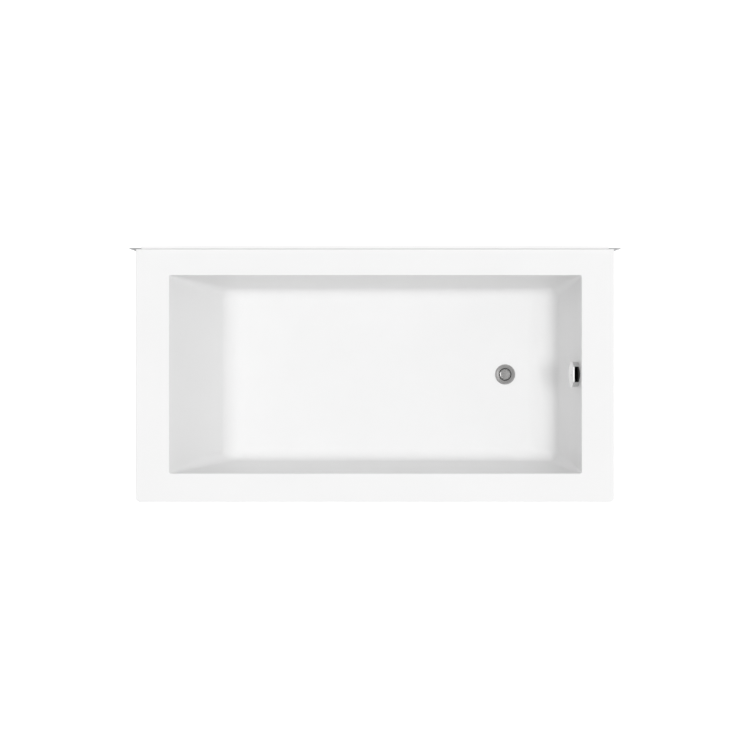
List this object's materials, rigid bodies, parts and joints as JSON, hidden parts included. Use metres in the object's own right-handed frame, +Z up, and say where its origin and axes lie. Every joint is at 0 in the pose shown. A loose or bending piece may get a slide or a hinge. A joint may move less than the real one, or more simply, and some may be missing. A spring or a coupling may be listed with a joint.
{
  "type": "soaking tub",
  "caption": "Rectangular acrylic soaking tub with a sloped backrest, a wall flange along one long side, lift-off panels, a framed base on levelling feet, a drain stopper and an overflow.",
  "frame": {"origin": "on the floor, under the middle of the tub's outer box", "axes": "+X to the drain end, +Y to the wall, +Z up"},
  "size_m": [1.58, 0.813, 0.585],
  "materials": {
    "acrylic": "gloss white acrylic sheet",
    "flange_plastic": "white extruded strip",
    "board_wood": "raw particle board",
    "frame_paint": "grey powder coat on steel tube",
    "zinc_steel": "zinc-plated steel",
    "foot_rubber": "black moulded rubber",
    "nylon": "natural nylon",
    "nickel": "brushed nickel plate",
    "chrome": "polished chrome plate",
    "brass": "turned brass",
    "seal_rubber": "soft black rubber",
    "black_plastic": "black moulded plastic"
  },
  "bodies": {
    "tub": {"base_board": "board_wood", "bracket_screws": "zinc_steel", "cross_rail_drain": "frame_paint", "cross_rail_head": "frame_paint", "cross_rail_middle": "frame_paint", "drain_flange": "nickel", "drain_gasket": "seal_rubber", "drain_pipe": "black_plastic", "drain_shoe": "black_plastic", "lock_nuts": "zinc_steel", "long_rail_back": "frame_paint", "long_rail_front": "frame_paint", "overflow_bush": "black_plastic", "overflow_cap": "chrome", "overflow_elbow": "black_plastic", "overflow_gasket": "seal_rubber", "overflow_pipe": "black_plastic", "panel_clips": "nylon", "post_back_left": "frame_paint", "post_back_right": "frame_paint", "post_front_left": "frame_paint", "post_front_right": "frame_paint", "slip_nuts": "black_plastic", "stopper_post": "brass", "tailpiece": "black_plastic", "tiling_flange": "flange_plastic", "top_rail_back": "frame_paint", "top_rail_front": "frame_paint", "tub_shell": "acrylic", "wall_bracket_left": "zinc_steel", "wall_bracket_right": "zinc_steel", "waste_tee": "black_plastic", "weld_nuts": "zinc_steel"},
    "stopper": {"stopper_cap": "nickel", "stopper_seal": "seal_rubber", "stopper_stem": "brass"},
    "front_panel": {"front_panel": "acrylic", "front_panel_pegs": "nylon"},
    "left_panel": {"left_panel": "acrylic", "left_panel_pegs": "nylon"},
    "right_panel": {"right_panel": "acrylic", "right_panel_pegs": "nylon"},
    "foot_front_left": {"foot_pad_front_left": "foot_rubber", "foot_stud_front_left": "zinc_steel"},
    "foot_front_middle": {"foot_pad_front_middle": "foot_rubber", "foot_stud_front_middle": "zinc_steel"},
    "foot_front_right": {"foot_pad_front_right": "foot_rubber", "foot_stud_front_right": "zinc_steel"},
    "foot_back_left": {"foot_pad_back_left": "foot_rubber", "foot_stud_back_left": "zinc_steel"},
    "foot_back_middle": {"foot_pad_back_middle": "foot_rubber", "foot_stud_back_middle": "zinc_steel"},
    "foot_back_right": {"foot_pad_back_right": "foot_rubber", "foot_stud_back_right": "zinc_steel"}
  },
  "joints": [
    {"name": "stopper_lift", "type": "slide", "parent": "tub", "child": "stopper", "axis": [0, 0, 1], "range_m": [0, 0.01]},
    {"name": "front_panel_pull", "type": "slide", "parent": "tub", "child": "front_panel", "axis": [0, -1, 0], "range_m": [0, 0.12]},
    {"name": "left_panel_pull", "type": "slide", "parent": "tub", "child": "left_panel", "axis": [-1, 0, 0], "range_m": [0, 0.12]},
    {"name": "right_panel_pull", "type": "slide", "parent": "tub", "child": "right_panel", "axis": [1, 0, 0], "range_m": [0, 0.12]},
    {"name": "foot_front_left_level", "type": "slide", "parent": "tub", "child": "foot_front_left", "axis": [0, 0, -1], "range_m": [0, 0.02]},
    {"name": "foot_front_middle_level", "type": "slide", "parent": "tub", "child": "foot_front_middle", "axis": [0, 0, -1], "range_m": [0, 0.02]},
    {"name": "foot_front_right_level", "type": "slide", "parent": "tub", "child": "foot_front_right", "axis": [0, 0, -1], "range_m": [0, 0.02]},
    {"name": "foot_back_left_level", "type": "slide", "parent": "tub", "child": "foot_back_left", "axis": [0, 0, -1], "range_m": [0, 0.02]},
    {"name": "foot_back_middle_level", "type": "slide", "parent": "tub", "child": "foot_back_middle", "axis": [0, 0, -1], "range_m": [0, 0.02]},
    {"name": "foot_back_right_level", "type": "slide", "parent": "tub", "child": "foot_back_right", "axis": [0, 0, -1], "range_m": [0, 0.02]}
  ]
}
